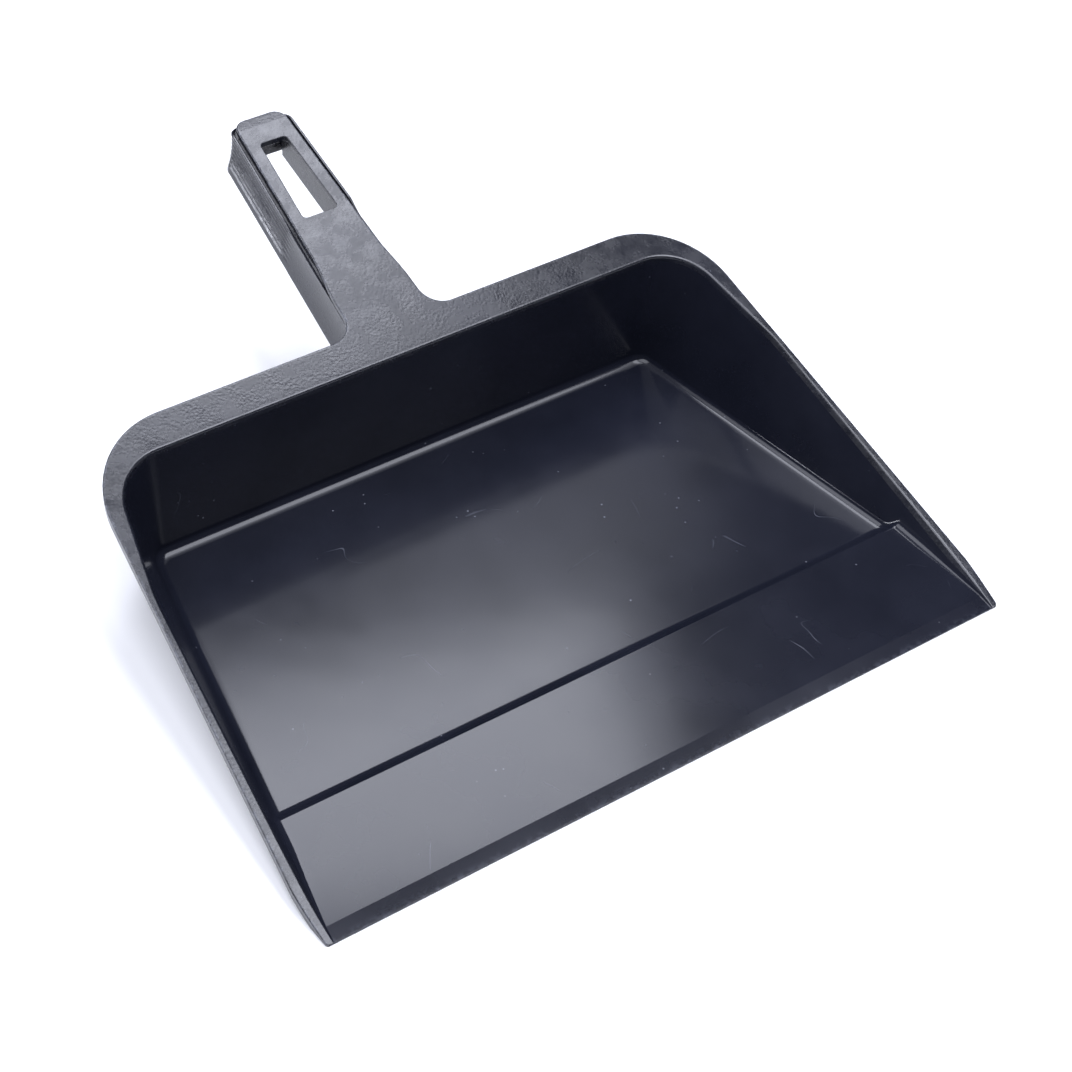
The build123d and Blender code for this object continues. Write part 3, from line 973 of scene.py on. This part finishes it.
# %% How the section changes along the handle
end_run = np.arange(end_stations)
grip_side = smooth_step(channel_y, GRIP_Y - GRIP_BLEND, GRIP_Y + GRIP_BLEND)
groove_side = smooth_step(channel_y, GROOVE_START, GROOVE_FULL)
end_wall = np.concatenate([np.zeros(side_stations), smooth_step(end_run, 0, END_STEPS)])
grip = np.concatenate([grip_side, 1 - smooth_step(end_run, 0, END_STEPS)])
thick = np.concatenate([grip_side, np.ones(end_stations)]) * (1 - end_wall)
groove = np.concatenate([groove_side, np.ones(end_stations)]) * (1 - end_wall)
sheet_top = SKIRT_SHEET + (GRIP_SHEET - SKIRT_SHEET) * thick
sheet_foot = SKIRT_SHEET + (GRIP_SHEET + SKIRT_FLARE - SKIRT_SHEET) * thick
groove_bottom = SHEET + (GROOVE_DEPTH - SHEET) * groove
shoulder = SHEET + 0.05 + 0.4 * groove + (PAD_TOP - SHEET - 0.45) * grip
print("walls", round(float(sheet_top.min()), 1), "to", round(float(sheet_foot.max()), 1), "mm thick")

# %% [markdown]
# The section goes round the skirt: from under the plate out through the groove, over the
# pad's shoulder, down the ribs to the foot, and up the inside. A rib is a row pulled in by its
# height between two rows that are not, and its height fades with the grip.

# %% Rows of the section
RIBS = 7
RIB_HEIGHT = 0.4
RIB_START = 0.8            # the first rib starts this far below the shoulder
RIB_END = 17.0             # and the last ends at this depth
UNDER_PLATE = 1.5          # the section starts and ends this far inside the skirt's inner face


def side_out(share):
    """How far the skirt's hollow outer face stands out, at a share of the way to its foot."""
    return SKIRT_FLARE * share ** 2 + PAD_OUT * grip_side * (1 - share)


rows = [
    channel_row(0.0, SHEET, sheet_top + UNDER_PLATE),
    channel_row(0.0, groove_bottom, 0.6 + 1.0 * groove),
    channel_row(0.0, groove_bottom, 0.4 + 0.3 * groove),
    channel_row(0.0, shoulder, 0.2 + 0.2 * groove),
    channel_row(PAD_OUT * grip_side, shoulder, 0.0),
]
radii = [0.2, 0.2, 0.3, 0.6]
for edge in range(2 * RIBS + 1):
    share = edge / (2 * RIBS)
    depth = shoulder + RIB_START + (RIB_END - RIB_START - shoulder) * share
    way_down = (0.5 + (16.5 - SHEET) * share) / (SKIRT_DROP - SHEET)
    rows.append(channel_row(side_out(way_down), depth, RIB_HEIGHT * (edge % 2) * grip))
    radii.append(0.3)
rows += [
    channel_row(SKIRT_FLARE, SKIRT_DROP, 0.0),
    channel_row(SKIRT_FLARE, SKIRT_DROP, sheet_foot),
    channel_row(0.0, SHEET + 0.02, sheet_top),
    channel_row(0.0, SHEET, sheet_top + UNDER_PLATE),
]
radii += [0.9, 0.9, 0.1]
channel_section = rounded(rows, radii, steps=3)
print(len(rows), "rows in the section,", RIBS, "ribs")

# %% The channel's skin
channel = Skin()
channel.grid(both_sides(channel_section))
for side in SIDES:
    channel.fill(channel_section[0][:-1] * side)
channel_nodes = ["handle_end"] + [side + part for side in both for part in ("handle_skirt", "grip_pad")]
channel.build("handle_channel", GRAINED, "root", channel_nodes)

# %% [markdown]
# ## Studio
#
# Black plastic shows almost nothing of its own colour. What the eye reads is the reflection of
# the lights, so each light is placed where the tray or the rim mirrors it to the camera. The
# floor is white paper, bright enough to leave no horizon behind the object.

# %% Floor
FLOOR_HALF = 3.0
floor_mesh = bpy.data.meshes.new("studio_floor")
floor_corners = [(-1, -1), (1, -1), (1, 1), (-1, 1)]
floor_mesh.from_pydata([(x * FLOOR_HALF, y * FLOOR_HALF, 0) for x, y in floor_corners], [], [(0, 1, 2, 3)])
studio_floor = bpy.data.objects.new("studio_floor", floor_mesh)
bpy.context.scene.collection.objects.link(studio_floor)
paper, paper_tree, _ = new_material("white_paper")
paper_shader = add(paper_tree, "BsdfPrincipled", {"Base Color": linear("#f4f4f4"), "Roughness": 0.9})
add(paper_tree, "OutputMaterial", {"Surface": paper_shader.outputs["BSDF"]})
floor_mesh.materials.append(paper)
print("paper floor", 2 * FLOOR_HALF, "m square")

# %% [markdown]
# The main panel hangs behind the pan and is what the tray's left half and the flange mirror.
# The far panel is faint and carries that reflection on to the tray's right. The two large
# panels in front and on the left light the paper, and the low strip grazes the left skirt.


# %% Lights
def panel(name, place, size, power, facing=(0, 0, -1), turn_degrees=0.0):
    """Soft rectangular light at a place, facing straight down or as told, turned about its own axis."""
    light = bpy.data.lights.new(name, "AREA")
    light.shape = "RECTANGLE"
    light.size, light.size_y = size
    light.energy = power
    light.color = linear("#f0f3ff")[:3]
    lamp = bpy.data.objects.new(name, light)
    lamp.location = place
    turned = Matrix.Rotation(math.radians(turn_degrees), 4, "Z")
    aimed = (-Vector(facing)).to_track_quat("Z", "Y").to_matrix().to_4x4()
    lamp.matrix_world = Matrix.Translation(place) @ aimed @ turned
    bpy.context.scene.collection.objects.link(lamp)
    print(name, "gives", power, "W")


panel("main_panel", (0.475, 0.75, 1.5), (0.74, 0.74), 15.5, turn_degrees=-15)
panel("far_panel", (0.93, 1.24, 1.5), (0.50, 0.32), 0.7, turn_degrees=-15)
panel("front_panel", (0.50, -0.60, 1.5), (0.90, 1.30), 28)
panel("fill_panel", (-0.70, -0.20, 1.5), (1.20, 1.80), 30)
panel("left_strip", (-1.30, 1.00, 0.42), (1.40, 0.12), 16, facing=(0.77, -0.59, -0.24))
world = bpy.data.worlds.new("studio")
bpy.context.scene.world = world
world.use_nodes = True
background = world.node_tree.nodes["Background"]
background.inputs["Color"].default_value = linear("#ffffff")
background.inputs["Strength"].default_value = 0.05
bpy.context.scene.view_settings.view_transform = "Standard"
